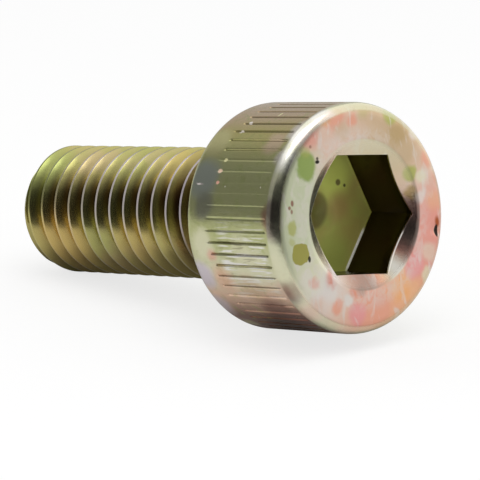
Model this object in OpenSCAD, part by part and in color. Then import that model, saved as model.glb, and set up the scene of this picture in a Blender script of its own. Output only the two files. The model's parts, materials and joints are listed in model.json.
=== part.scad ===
// Hexagon socket cylinder head screw with a metric thread, one solid.
// The screw is built upright: the seat under the head lies in the plane z = 0, the head
// rises above it and the threaded shank hangs below. It is then laid down on the plane
// z = 0, where it rests on the back rim of its head and on the first crest of its tip.
// All lengths are in millimetres and all angles in degrees.

/* [Head] */
// Diameter of the head over the knurl
head_d = 9.9; // [9.6:0.1:10.2]
// Height of the head above its seat
head_h = 6; // [5.6:0.1:6.4]
// Radius of the rounded rim round the seat
rim_r = 0.55; // [0.3:0.05:0.8]
// Radius of the rolled edge round the face
face_edge_r = 0.55; // [0.3:0.05:0.8]

/* [Knurl] */
// Number of straight grooves round the head
groove_count = 60; // [48:1:72]
// Depth of a groove
groove_depth = 0.08; // [0.06:0.01:0.16]
// Width of a groove at the surface
groove_width = 0.14; // [0.12:0.02:0.3]
// Turn of the grooves about the screw's axis, from one at the very bottom
groove_turn = 4.8; // [0:0.2:7.4]
// Plain band between the seat and the first end of the grooves
plain_band = 1.7; // [1:0.1:2.4]
// Plain band between the far end of the grooves and the rolled edge
front_gap = 0.06; // [0:0.02:0.4]

/* [Socket] */
// Width of the hexagon across its flats
socket_af = 5.08; // [4.8:0.04:5.2]
// Depth of the hexagon below the face
socket_depth = 2.8; // [2.4:0.1:3.4]
// Turn of the hexagon about the screw's axis
socket_turn = -7; // [-30:0.5:30]
// Distance of the socket from the head's axis, as cold forming leaves it
socket_off = 0.2; // [0:0.02:0.24]
// Direction of that distance about the screw's axis, from straight down
socket_off_turn = 130; // [0:5:355]
// Diameter of the countersink where it meets the face, before its edge is rolled
sink_d = 6.35; // [6:0.05:6.6]
// Full angle of the countersink
sink_angle = 120; // [90:5:120]
// Radius of the roll from the face into the countersink
lip_r = 0.4; // [0.3:0.1:1.2]
// Diameter of the punch mark in the middle of the socket's floor
punch_d = 1.8; // [1:0.1:2.2]
// Depth of the punch mark below the socket's floor
punch_depth = 0.35; // [0.1:0.05:0.6]

/* [Shank] */
// Length of the screw below its head
screw_len = 15; // [12:0.5:18]
// Outer diameter of the thread
thread_d = 5.9; // [5.8:0.02:6]
// Distance from one crest of the thread to the next
pitch = 1; // [0.9:0.05:1.2]
// Diameter of the plain neck between the thread and the head
neck_d = 5.3; // [5.1:0.05:5.5]
// Length of the plain neck, measured from the seat
neck_len = 1; // [0.8:0.1:2]
// Length over which the thread fades out into the neck
fade_len = 0.8; // [0.4:0.1:1.6]
// Gap from the thread out to the seat's inner edge, so that a washer that goes over it lies flat
seat_gap = 0.1; // [0.05:0.05:0.2]
// Diameter of the flat end of the tip
tip_d = 4; // [3.6:0.1:4.6]
// Angle of the tip's chamfer to the screw's axis
tip_angle = 45; // [35:1:55]
// Turn of the thread, which slides its crests along the underside by a pitch in 360 degrees
thread_turn = 230; // [0:2.5:357.5]

/* [Hidden] */

// Steps round a turned surface, and round the thread
fine_steps = 180;
thread_steps = 48;
// Steps in a quarter of the neck's fillet
fillet_steps = 4;

head_r = head_d / 2;
thread_r = thread_d / 2;
neck_r = neck_d / 2;
tip_r = tip_d / 2;
// Radius of the fillet between the neck and the seat
fillet_r = thread_r + seat_gap - neck_r;

// Thread form: a 60 degree metric profile with a crest an eighth and a root a quarter of
// the pitch wide, and a root rounded a little deeper in its middle
flank_angle = 30;
crest_w = pitch / 8;
root_w = pitch / 4;
flank_w = (pitch - crest_w - root_w) / 2;
thread_depth = flank_w / tan(flank_angle);
root_r = thread_r - thread_depth;
root_round = pitch / 16;

// One pitch of the profile, from the tip's side to the head's: [place along the axis, radius]
profile = [
    [0, thread_r],
    [crest_w, thread_r],
    [crest_w + flank_w, root_r],
    [crest_w + flank_w + root_w / 2, root_r - root_round],
    [crest_w + flank_w + root_w, root_r]
];
profile_n = len(profile);

// Lower edge of the first full crest above the tip's chamfer, on the side that lies down
tip_chamfer = (thread_r - tip_r) / tan(tip_angle);
contact_low = -screw_len + tip_chamfer + pitch * thread_turn / 360;

// The rod starts a whole number of turns below that crest, and past the tip. Its rows start a
// turn lower and end past the neck, so that they reach both ends of the thread on every side.
spare_turns = ceil((contact_low + screw_len) / pitch) + 1;
thread_low = contact_low - spare_turns * pitch;
thread_high = -neck_len;
thread_turns = ceil((thread_high - thread_low) / pitch) + 2;
row_n = thread_turns * profile_n;

// How far the shank reaches into the head, and how far cutters reach past a surface
overlap = 0.4;
past = 1;

// The lying screw touches the plane with that crest and with the rounded rim of its head.
// Its tilt is that of the line that touches both from below.
contact_run = rim_r - contact_low;
contact_rise = head_r - rim_r - thread_r;
rest_tilt = atan2(contact_rise, contact_run) + asin(rim_r / norm([contact_run, contact_rise]));
rest_lift = thread_r * cos(rest_tilt) - contact_low * sin(rest_tilt);

// Reach of the lying screw along X, from the top of its tip to the rolled edge of its face
reach_low = -screw_len * cos(rest_tilt) - tip_r * sin(rest_tilt);
reach_high = (head_h - face_edge_r) * cos(rest_tilt)
    + (head_r - face_edge_r) * sin(rest_tilt) + face_edge_r;

// Angle of the countersink's wall to the face, and the roll's run along the face from the corner
sink_slope = 90 - sink_angle / 2;
lip_run = lip_r * tan(sink_slope / 2);
sink_r = sink_d / 2;

// The countersink's cutter ends just inside the hexagon's flats
sink_inset = 0.1;
sink_bottom_r = socket_af / 2 - sink_inset;
sink_bottom_depth = (sink_r - sink_bottom_r) * tan(sink_slope);

// Angle from the middle of a hexagon's flat to its corner. A turn by it lays a flat face down.
hex_half = 30;

// Removes what lies outside a quarter circle in the corner of a profile, towards +X +Y
module rounded_off(r) {
    difference() {
        square(2 * r);
        circle(r = r, $fn = fine_steps);
    }
}

// Half section of the head's blank: radius along X, height along Y
module head_section() {
    difference() {
        square([head_r, head_h]);
        translate([head_r - rim_r, rim_r]) mirror([0, 1]) rounded_off(rim_r);
        translate([head_r - face_edge_r, head_h - face_edge_r]) rounded_off(face_edge_r);
    }
}

// Half section of the countersink's cutter, with the edge at the face rolled over
module sink_section() {
    roll_x = sink_r + lip_run;
    roll_y = head_h - lip_r;
    difference() {
        polygon([
            [0, head_h + past],
            [roll_x, head_h + past],
            [roll_x, head_h],
            [roll_x, roll_y],
            [roll_x - lip_r * sin(sink_slope), roll_y + lip_r * cos(sink_slope)],
            [sink_bottom_r, head_h - sink_bottom_depth],
            [0, head_h - sink_bottom_depth]
        ]);
        translate([roll_x, roll_y]) circle(r = lip_r, $fn = fine_steps);
    }
}

// Cutter for the hexagon, its countersink and the punch mark in its floor, beside the head's axis
module socket_cutter() {
    floor_z = head_h - socket_depth;
    translate(socket_off * [cos(socket_off_turn), sin(socket_off_turn), 0]) {
        translate([0, 0, floor_z])
            rotate([0, 0, hex_half + socket_turn])
                cylinder(r = socket_af / 2 / cos(hex_half), h = socket_depth + past, $fn = 6);
        rotate_extrude($fn = fine_steps) sink_section();
        // The punch's cone is punch_d wide at the floor and goes on above it to twice its height
        translate([0, 0, floor_z - punch_depth])
            cylinder(r1 = 0, r2 = punch_d, h = 2 * punch_depth, $fn = fine_steps);
    }
}

// Cutter for one groove of the knurl: a V that is groove_width wide at the surface and goes
// on outwards to twice its height
module groove_cutter() {
    high = head_h - face_edge_r - front_gap;
    translate([head_r, 0, plain_band])
        linear_extrude(height = high - plain_band)
            polygon([
                [-groove_depth, 0],
                [groove_depth, -groove_width],
                [groove_depth, groove_width]
            ]);
}

module knurl_cutters() {
    for (i = [0 : groove_count - 1])
        rotate([0, 0, 360 * i / groove_count + groove_turn]) groove_cutter();
}

module head() {
    difference() {
        rotate_extrude($fn = fine_steps) head_section();
        socket_cutter();
        knurl_cutters();
    }
}

// Height of a row of the thread at a step round the screw: a right-hand helix
function row_z(row, step) =
    thread_low + (floor(row / profile_n) - 1) * pitch + profile[row % profile_n].x
    + pitch * step / thread_steps;

// Radius of a row at a height: the profile, fading into the neck near the head
function row_r(row, z) =
    let (fade = min(1, max(0, (thread_high - z) / fade_len)))
    neck_r + (profile[row % profile_n].y - neck_r) * fade;

function ring_point(r, z, step) =
    let (angle = 360 * step / thread_steps)
    [r * cos(angle), r * sin(angle), z];

// Plain rings above the thread: the neck, its fillet and the part inside the head
neck_rings = [
    [neck_r, thread_high],
    for (i = [0 : fillet_steps])
        let (angle = 90 * i / fillet_steps)
        [neck_r + fillet_r * (1 - cos(angle)), -fillet_r + fillet_r * sin(angle)],
    [neck_r + fillet_r, overlap]
];

// Index of a thread point. Rows past an end of the thread share the ring there.
function thread_index(row, step) =
    let (
        wraps = step == thread_steps,
        r = wraps ? row + profile_n : row,
        s = wraps ? 0 : step,
        z = row_z(r, s)
    )
    z <= thread_low ? s
    : z >= thread_high ? thread_steps * (1 + row_n) + s
    : thread_steps * (1 + r) + s;

// Two triangles between four corners, without the ones that have no area
function patch(a, b, c, d) = [
    if (a != b && b != c && c != a) [a, b, c],
    if (a != c && c != d && d != a) [a, c, d]
];

// The threaded rod: a ring at its start, the rows of the thread, then the neck's rings
module threaded_rod() {
    steps = [0 : thread_steps - 1];
    rings = len(neck_rings);
    ring_base = thread_steps * (1 + row_n);
    points = [
        for (s = steps) ring_point(root_r - root_round, thread_low, s),
        for (row = [0 : row_n - 1], s = steps)
            let (z = row_z(row, s)) ring_point(row_r(row, z), z, s),
        for (ring = neck_rings, s = steps) ring_point(ring[0], ring[1], s)
    ];
    faces = [
        [for (s = steps) s],
        for (row = [0 : row_n - 2], s = steps)
            each patch(
                thread_index(row, s), thread_index(row + 1, s),
                thread_index(row + 1, s + 1), thread_index(row, s + 1)
            ),
        for (k = [0 : rings - 2], s = steps)
            let (
                next = (s + 1) % thread_steps,
                low = ring_base + k * thread_steps,
                high = low + thread_steps
            )
            each patch(low + s, high + s, high + next, low + next),
        [for (s = steps) ring_base + rings * thread_steps - 1 - s]
    ];
    polyhedron(points = points, faces = faces, convexity = 10);
}

// What is left of the rod: everything above the chamfered tip
module tip_envelope() {
    wide = thread_r + past;
    rotate_extrude($fn = fine_steps)
        polygon([
            [0, -screw_len],
            [tip_r, -screw_len],
            [wide, -screw_len + (wide - tip_r) / tan(tip_angle)],
            [wide, overlap + past],
            [0, overlap + past]
        ]);
}

module shank() {
    intersection() {
        threaded_rod();
        tip_envelope();
    }
}

// Turns the upright screw's head towards +X, tips it up and sets it on the plane z = 0
module laid_down() {
    translate([-(reach_low + reach_high) / 2, 0, rest_lift])
        rotate([0, 90 - rest_tilt, 0])
            children();
}

module cap_screw() {
    color([0.66, 0.62, 0.44])
        laid_down()
            union() {
                head();
                shank();
            }
}

cap_screw();
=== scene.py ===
"""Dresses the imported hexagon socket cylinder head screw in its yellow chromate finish.

Lengths are in metres. The screw is built upright in axes of its own, with the seat under its
head at height zero, its head above and its thread below, and its mesh is then laid where the
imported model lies. Angles round the screw start at the side that faces the floor, pass the side
away from the camera at 90 degrees and come to the side near the camera at 270 degrees.
"""

import json
import logging
import math
from collections.abc import Iterable, Sequence
from dataclasses import dataclass
from enum import Enum

import bmesh
import bpy
from mathutils import Matrix, Vector


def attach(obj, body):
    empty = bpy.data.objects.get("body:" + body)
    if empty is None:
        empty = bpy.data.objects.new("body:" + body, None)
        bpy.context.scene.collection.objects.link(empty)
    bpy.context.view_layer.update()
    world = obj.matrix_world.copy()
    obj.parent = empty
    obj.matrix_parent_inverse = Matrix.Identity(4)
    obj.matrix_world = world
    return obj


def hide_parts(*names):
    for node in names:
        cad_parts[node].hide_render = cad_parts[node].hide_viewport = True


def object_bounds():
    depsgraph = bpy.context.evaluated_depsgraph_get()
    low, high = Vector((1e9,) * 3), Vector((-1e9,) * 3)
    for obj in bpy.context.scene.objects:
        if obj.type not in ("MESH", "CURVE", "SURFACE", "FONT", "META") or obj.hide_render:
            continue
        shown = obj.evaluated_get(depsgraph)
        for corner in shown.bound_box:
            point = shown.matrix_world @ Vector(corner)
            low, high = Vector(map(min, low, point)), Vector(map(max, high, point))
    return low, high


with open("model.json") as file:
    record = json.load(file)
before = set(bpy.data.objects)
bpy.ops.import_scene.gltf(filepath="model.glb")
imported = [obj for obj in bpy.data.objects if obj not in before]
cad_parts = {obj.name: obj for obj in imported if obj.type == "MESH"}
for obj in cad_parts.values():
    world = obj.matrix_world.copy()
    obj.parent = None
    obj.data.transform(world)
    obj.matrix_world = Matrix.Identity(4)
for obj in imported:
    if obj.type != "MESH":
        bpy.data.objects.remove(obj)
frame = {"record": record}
CAD_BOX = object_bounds()

MM = 0.001
TURN = 2 * math.pi
LOG = logging.getLogger("screw")

BMesh = bmesh.types.BMesh
Ring = Sequence[bmesh.types.BMVert]
Pair = tuple[float, float]
Triple = tuple[float, float, float]
Colour = tuple[float, float, float, float]


def linear(red: float, green: float, blue: float) -> Colour:
    """Turns a colour from 0 to 1, as a picture stores it, into the linear one that a shader takes."""
    parts = [c / 12.92 if c <= 0.04045 else ((c + 0.055) / 1.055) ** 2.4 for c in (red, green, blue)]
    return (*parts, 1.0)


def around(angle: float, radius: float, rise: float) -> Vector:
    """Returns a point of the upright screw from its angle in degrees, its radius and its height."""
    turn = math.radians(angle)
    return Vector((radius * math.cos(turn), radius * math.sin(turn), rise))


def direction(azimuth: float, elevation: float = 0.0) -> Vector:
    """Returns the way from the screw to where a camera of this azimuth and elevation, in degrees, would stand."""
    a, e = math.radians(azimuth), math.radians(elevation)
    return Vector((math.cos(e) * math.sin(a), -math.cos(e) * math.cos(a), math.sin(e)))


def add_object(name: str, data: bpy.types.ID, place: Matrix | None = None) -> bpy.types.Object:
    """Puts an object into the scene.

    Args:
        name: Its name.
        data: Its mesh, lamp or camera.
        place: Where it goes, or None for the origin.

    Returns:
        The object.
    """
    thing = bpy.data.objects.new(name, data)
    if place:
        thing.matrix_world = place
    bpy.context.scene.collection.objects.link(thing)
    return thing


class Wire:
    """An output socket that takes part in Python arithmetic by adding Math nodes."""

    def __init__(self, graph: "Graph", socket: bpy.types.NodeSocket) -> None:
        """Keeps the socket and the graph that it belongs to."""
        self.graph = graph
        self.socket = socket

    def math(self, operation: str, *others: "Wire | float") -> "Wire":
        """Adds a Math node of an operation on this socket and further values."""
        return self.graph.calc(operation, self, *others)

    def __add__(self, other: "Wire | float") -> "Wire":
        """Adds."""
        return self.math("ADD", other)

    def __sub__(self, other: "Wire | float") -> "Wire":
        """Subtracts."""
        return self.math("SUBTRACT", other)

    def __rsub__(self, other: float) -> "Wire":
        """Subtracts from a number."""
        return self.graph.calc("SUBTRACT", other, self)

    def __mul__(self, other: "Wire | float") -> "Wire":
        """Multiplies."""
        return self.math("MULTIPLY", other)

    def __truediv__(self, other: "Wire | float") -> "Wire":
        """Divides."""
        return self.math("DIVIDE", other)

    __radd__ = __add__
    __rmul__ = __mul__

    def __abs__(self) -> "Wire":
        """Drops the sign."""
        return self.math("ABSOLUTE")

    def least(self, other: "Wire | float") -> "Wire":
        """Returns the smaller of the two."""
        return self.math("MINIMUM", other)

    def most(self, other: "Wire | float") -> "Wire":
        """Returns the larger of the two."""
        return self.math("MAXIMUM", other)

    def step(self, low: "Wire | float", high: "Wire | float") -> "Wire":
        """Rises smoothly from 0 at one value to 1 at another, which may be the lower of the two."""
        settings = {"interpolation_type": "SMOOTHSTEP", "clamp": True}
        return self.graph.wire("ShaderNodeMapRange", settings, {0: self, 1: low, 2: high, 3: 0.0, 4: 1.0})

    def bell(self, centre: float, reach: float) -> "Wire":
        """Returns 1 at a value, falling smoothly to 0 at a distance from it."""
        return abs(self - centre).step(reach, 0.0)


class Graph:
    """Adds nodes to a tree."""

    def __init__(self, tree: bpy.types.NodeTree) -> None:
        """Keeps the tree."""
        self.tree = tree

    @classmethod
    def start(cls, block: bpy.types.Material | bpy.types.World) -> "Graph":
        """Starts a graph in a material's or a world's own tree, which is emptied."""
        block.use_nodes = True
        block.node_tree.nodes.clear()
        return cls(block.node_tree)

    def node(self, kind: str, settings: dict | None = None, values: dict | None = None) -> bpy.types.Node:
        """Adds one node.

        Args:
            kind: The node's type.
            settings: Its properties. The entry "stops" holds a ramp's positions and colours.
            values: Its input sockets' values or links, by name or by number.

        Returns:
            The node.
        """
        node = self.tree.nodes.new(kind)
        for name, setting in (settings or {}).items():
            if name == "stops":
                self.fill_ramp(node.color_ramp, setting)
            else:
                setattr(node, name, setting)
        for key, value in (values or {}).items():
            if isinstance(value, Wire):
                self.tree.links.new(value.socket, node.inputs[key])
            else:
                node.inputs[key].default_value = value
        return node

    @staticmethod
    def fill_ramp(ramp: bpy.types.ColorRamp, stops: Sequence[tuple[float, tuple]]) -> None:
        """Gives a ramp its stops.

        Args:
            ramp: The ramp, with the two stops that it starts with.
            stops: Positions from 0 to 1 with their colours, in order.
        """
        for place, _ in stops[2:]:
            ramp.elements.new(place)
        for element, (place, colour) in zip(ramp.elements, stops):
            element.position = place
            element.color = colour

    def wire(self, kind: str, settings: dict | None = None, values: dict | None = None, output: int | str = 0) -> Wire:
        """Adds a node and returns one of its outputs."""
        return Wire(self, self.node(kind, settings, values).outputs[output])

    def calc(self, operation: str, *values: "Wire | float") -> Wire:
        """Adds a Math node of an operation on some values."""
        return self.wire("ShaderNodeMath", {"operation": operation}, dict(enumerate(values)))

    def vector(self, operation: str, *values: "Wire | tuple", output: int = 0) -> Wire:
        """Adds a Vector Math node of an operation on some values."""
        return self.wire("ShaderNodeVectorMath", {"operation": operation}, dict(enumerate(values)), output)

    def mix(self, factor: "Wire | float", low: "Wire | tuple", high: "Wire | tuple") -> Wire:
        """Mixes two colours: the first where the factor is 0, the second where it is 1."""
        return self.wire("ShaderNodeMix", {"data_type": "RGBA"}, {0: factor, 6: low, 7: high}, 2)

    def split(self, vector: Wire) -> tuple[Wire, Wire, Wire]:
        """Returns the three parts of a vector."""
        node = self.node("ShaderNodeSeparateXYZ", values={0: vector})
        return tuple(Wire(self, socket) for socket in node.outputs)

    def join(self, *parts: "Wire | float") -> Wire:
        """Returns a vector of three parts."""
        return self.wire("ShaderNodeCombineXYZ", values=dict(enumerate(parts)))

    def noise(self, vector: Wire, scale: float, detail: float = 2.0, twist: float = 0.0) -> Wire:
        """Returns a cloudy noise from 0 to 1, with layers of finer detail and a twist out of shape."""
        values = {"Vector": vector, "Scale": scale, "Detail": detail, "Distortion": twist}
        return self.wire("ShaderNodeTexNoise", values=values)


class GeometryTree:
    """A Geometry Nodes tree with named inputs that changes a mesh and gives it a material."""

    MESH = "Mesh"
    MATERIAL = "Material"

    def __init__(self, name: str, sizes: dict[str, float]) -> None:
        """Starts the tree.

        Args:
            name: The tree's name.
            sizes: Its inputs' names and values. A whole number makes a whole-number input.
        """
        self.tree = bpy.data.node_groups.new(name, "GeometryNodeTree")
        self.graph = Graph(self.tree)
        self.sizes = sizes
        face = self.tree.interface
        face.new_socket(self.MESH, in_out="INPUT", socket_type="NodeSocketGeometry")
        face.new_socket(self.MESH, in_out="OUTPUT", socket_type="NodeSocketGeometry")
        self.keys = {}
        for title, size in sizes.items():
            kind = "NodeSocketInt" if isinstance(size, int) else "NodeSocketFloat"
            self.keys[title] = face.new_socket(title, in_out="INPUT", socket_type=kind).identifier
        finish = face.new_socket(self.MATERIAL, in_out="INPUT", socket_type="NodeSocketMaterial")
        self.keys[self.MATERIAL] = finish.identifier
        self.entry = self.graph.node("NodeGroupInput")

    def __getitem__(self, title: str) -> Wire:
        """Returns one of the tree's inputs."""
        return Wire(self.graph, self.entry.outputs[title])

    def place(self, mesh: Wire, position: Wire) -> Wire:
        """Moves a mesh's points to new positions."""
        return self.graph.wire("GeometryNodeSetPosition", values={"Geometry": mesh, "Position": position})

    def close(self, mesh: Wire) -> None:
        """Ends the tree in Realize Instances and Set Material."""
        real = self.graph.wire("GeometryNodeRealizeInstances", values={"Geometry": mesh})
        values = {"Geometry": real, "Material": self[self.MATERIAL]}
        self.graph.node("NodeGroupOutput", values={0: self.graph.wire("GeometryNodeSetMaterial", values=values)})

    def run(self, mesh: bpy.types.Mesh, material: bpy.types.Material) -> bpy.types.Mesh:
        """Runs the tree on a mesh.

        Args:
            mesh: The mesh that goes in.
            material: The material that it comes out with.

        Returns:
            The result as a plain mesh.
        """
        holder = add_object(self.tree.name, mesh)
        modifier = holder.modifiers.new(self.tree.name, "NODES")
        modifier.node_group = self.tree
        for title, size in self.sizes.items():
            modifier[self.keys[title]] = size
        modifier[self.keys[self.MATERIAL]] = material
        graph = bpy.context.evaluated_depsgraph_get()
        result = bpy.data.meshes.new_from_object(holder.evaluated_get(graph), depsgraph=graph)
        holder.modifiers.remove(modifier)
        bpy.data.objects.remove(holder)
        return result


@dataclass(frozen=True)
class Lie:
    """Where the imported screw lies, read from its mounts.

    Attributes:
        seat: Centre of the seat under the head.
        axis: Direction from the tip to the head.
        socket: Middle of the socket's mouth, in the plane of the face.
        length: From the seat to the tip.
    """

    seat: Vector
    axis: Vector
    socket: Vector
    length: float

    @classmethod
    def from_record(cls, record: dict) -> "Lie":
        """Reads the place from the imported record's mounts."""
        places = {mount["name"]: mount for mount in record["mounts"]}
        seat = Vector(places["bearing_face"]["pos_m"])
        tip = Vector(places["external_thread"]["pos_m"])
        axis = Vector(places["hex_socket"]["axis"]).normalized()
        return cls(seat, axis, Vector(places["hex_socket"]["pos_m"]), (seat - tip).length)

    @property
    def head_height(self) -> float:
        """Height of the face above the seat."""
        return (self.socket - self.seat).dot(self.axis)

    @property
    def socket_centre(self) -> Pair:
        """Where the socket's axis lies beside the screw's own, as X and Y of the upright screw."""
        local = self.matrix.inverted() @ self.socket
        return local.x, local.y

    @property
    def matrix(self) -> Matrix:
        """Turns the upright screw's axes into the row's, X down, Y away from the camera, Z up the screw."""
        side = Vector((0, 1, 0))
        down = side.cross(self.axis)
        turn = Matrix((down, side, self.axis)).transposed()
        return Matrix.Translation(self.seat) @ turn.to_4x4()


@dataclass(frozen=True)
class HeadSizes:
    """Sizes of the head, its knurl and its socket."""

    height: float
    socket_centre: Pair = (0.0, 0.0)
    radius: float = 4.95 * MM
    rim: float = 0.55 * MM
    face_edge: float = 0.55 * MM
    grooves: int = 60
    groove_depth: float = 0.08 * MM
    groove_width: float = 0.14 * MM
    groove_turn: float = math.radians(4.8)
    run_out: float = 0.1 * MM
    spread: float = 0.12 * MM
    worn_middle: float = math.radians(248)
    worn_reach: float = math.radians(26)
    knurl_low: float = 1.7 * MM
    knurl_gap: float = 0.06 * MM
    socket_af: float = 5.08 * MM
    socket_depth: float = 2.8 * MM
    socket_turn: float = math.radians(-7)
    sink_radius: float = 3.175 * MM
    sink_slope: float = math.radians(30)
    lip: float = 0.4 * MM
    punch_radius: float = 0.9 * MM
    punch_depth: float = 0.35 * MM

    @property
    def knurl_high(self) -> float:
        """Height at which the grooves end, short of the face's rolled edge."""
        return self.height - self.face_edge - self.knurl_gap

    @property
    def roll_radius(self) -> float:
        """Radius at which the flat face starts to roll into the countersink."""
        return self.sink_radius + self.lip * math.tan(self.sink_slope / 2)

    @property
    def first_corner(self) -> float:
        """Angle of the hexagon's first corner."""
        return TURN / 12 + self.socket_turn

    def hexagon(self, angle: float) -> float:
        """Returns the hexagon's radius at an angle round the screw."""
        sextant = TURN / 6
        off_flat = (angle - self.first_corner) % sextant - sextant / 2
        return self.socket_af / 2 / math.cos(off_flat)

    def countersink(self, radius: float) -> float:
        """Returns the height of the rolled lip or the countersink at a radius."""
        run = self.roll_radius - radius
        tangent_run = self.lip * math.sin(self.sink_slope)
        if run <= tangent_run:
            return self.height - self.lip + math.sqrt(self.lip**2 - run**2)
        tangent_height = self.height - self.lip * (1 - math.cos(self.sink_slope))
        return tangent_height - (run - tangent_run) * math.tan(self.sink_slope)


@dataclass(frozen=True)
class ShankSizes:
    """Sizes of the thread, the neck and the tip."""

    length: float
    thread_radius: float = 2.95 * MM
    pitch: float = 1 * MM
    neck_radius: float = 2.65 * MM
    neck_length: float = 1.0 * MM
    fade: float = 0.8 * MM
    fillet: float = 0.4 * MM
    tip_radius: float = 2.0 * MM
    tip_slope: float = math.radians(45)
    thread_turn: float = 230 / 360
    flank_angle: float = math.radians(30)
    crest_edge: float = 0.03 * MM
    dish: float = 0.12 * MM

    @property
    def crest_low(self) -> float:
        """Height of the lower edge of the first full crest on the side that lies down."""
        chamfer = (self.thread_radius - self.tip_radius) / math.tan(self.tip_slope)
        return -self.length + chamfer + self.pitch * self.thread_turn

    @property
    def crest_start(self) -> float:
        """How far along a pitch the crest starts, counted from the middle of the root."""
        return 7 / 16 * self.pitch

    def section(self) -> list[Pair]:
        """Lists one pitch of the rolled profile, from the middle of one root to that of the next.

        Returns:
            Places along the axis and depths below the crest. The crest's edges are a little
            round, and the root is rounded deeper than its flat.
        """
        crest, root = self.pitch / 8, self.pitch / 4
        flank = (self.pitch - crest - root) / 2
        slope = math.tan(self.flank_angle)
        depth = flank / slope
        edge = self.crest_edge
        half = [
            (0.0, depth + self.pitch / 16),
            (0.25 * root, depth + self.pitch / 19),
            (0.47 * root, depth + self.pitch / 60),
            (root / 2 + 0.06 * flank, depth * 0.93),
            (root / 2 + 0.3 * flank, depth * 0.7),
            (root / 2 + 0.6 * flank, depth * 0.4),
            (root / 2 + flank - edge * 0.7, edge * 0.7 / slope),
            (root / 2 + flank, edge * 0.3),
            (root / 2 + flank + edge, 0.0),
        ]
        middle = [(self.pitch / 2, 0.0)]
        back = [(self.pitch - along, deep) for along, deep in reversed(half)]
        return half + middle + back


@dataclass(frozen=True)
class Nick:
    """A small dent that the screw has picked up.

    Attributes:
        angle: Angle round the screw, in degrees.
        rise: Height above the seat.
        radius: Distance from the axis.
        reach: Radius of the dent.
        depth: How far its middle is pushed in towards the axis.
        sink: How far its middle is pushed down towards the tip.
    """

    angle: float
    rise: float
    radius: float
    reach: float
    depth: float
    sink: float = 0.0

    def press(self, mesh: BMesh) -> int:
        """Presses the dent into a mesh and returns how many points moved."""
        centre = around(self.angle, self.radius, self.rise)
        push = around(self.angle, -self.depth, -self.sink)
        moved = 0
        for vert in mesh.verts:
            far = (vert.co - centre).length / self.reach
            if far < 1:
                vert.co += push * (1 - far * far) ** 2
                moved += 1
        return moved


def ring(
    mesh: BMesh,
    points: Sequence[Triple],
    centre: Pair = (0.0, 0.0),
) -> Ring:
    """Adds a ring of points.

    Args:
        mesh: The mesh.
        points: Angle, radius and height of each point.
        centre: The ring's middle, as X and Y.

    Returns:
        The ring's points in the mesh.
    """
    x, y = centre
    return [mesh.verts.new((x + r * math.cos(a), y + r * math.sin(a), h)) for a, r, h in points]


def skin(mesh: BMesh, low: Ring, high: Ring) -> None:
    """Joins two rings by faces that look outwards where the second ring is above the first.

    Args:
        mesh: The mesh.
        low: The first ring.
        high: The second ring, with as many points or a whole number of times as many.
    """
    share = len(high) // len(low)
    for i, corner in enumerate(low):
        after = low[(i + 1) % len(low)]
        fine = [high[(i * share + k) % len(high)] for k in range(share + 1)]
        if share == 1:
            mesh.faces.new((corner, after, fine[1], fine[0]))
            continue
        middle = share // 2
        for k in range(share):
            near = corner if k < middle else after
            mesh.faces.new((near, fine[k + 1], fine[k]))
        mesh.faces.new((corner, after, fine[middle]))


def stack(
    mesh: BMesh,
    last: Ring,
    rows: Iterable[Sequence[Triple]],
    centre: Pair = (0.0, 0.0),
) -> Ring:
    """Adds rings one after the other, each joined to the one before.

    Args:
        mesh: The mesh.
        last: The ring to start from.
        rows: Angles, radii and heights of each new ring.
        centre: The rings' middle, as X and Y.

    Returns:
        The last of the rings.
    """
    for points in rows:
        row = ring(mesh, points, centre)
        skin(mesh, last, row)
        last = row
    return last


def cap(
    mesh: BMesh,
    edge: Ring,
    height: float,
    upward: bool,
    centre: Pair = (0.0, 0.0),
) -> None:
    """Closes a ring by triangles to its middle.

    Args:
        mesh: The mesh.
        edge: The ring.
        height: Height of the point in the middle.
        upward: Whether the faces look up.
        centre: X and Y of that point.
    """
    middle = mesh.verts.new((*centre, height))
    for i, corner in enumerate(edge):
        after = edge[(i + 1) % len(edge)]
        mesh.faces.new((corner, after, middle) if upward else (after, corner, middle))


def arc(start: float, end: float, steps: int) -> list[float]:
    """Returns evenly spaced angles from start to end, both ends included."""
    return [start + (end - start) * k / steps for k in range(steps + 1)]


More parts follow.
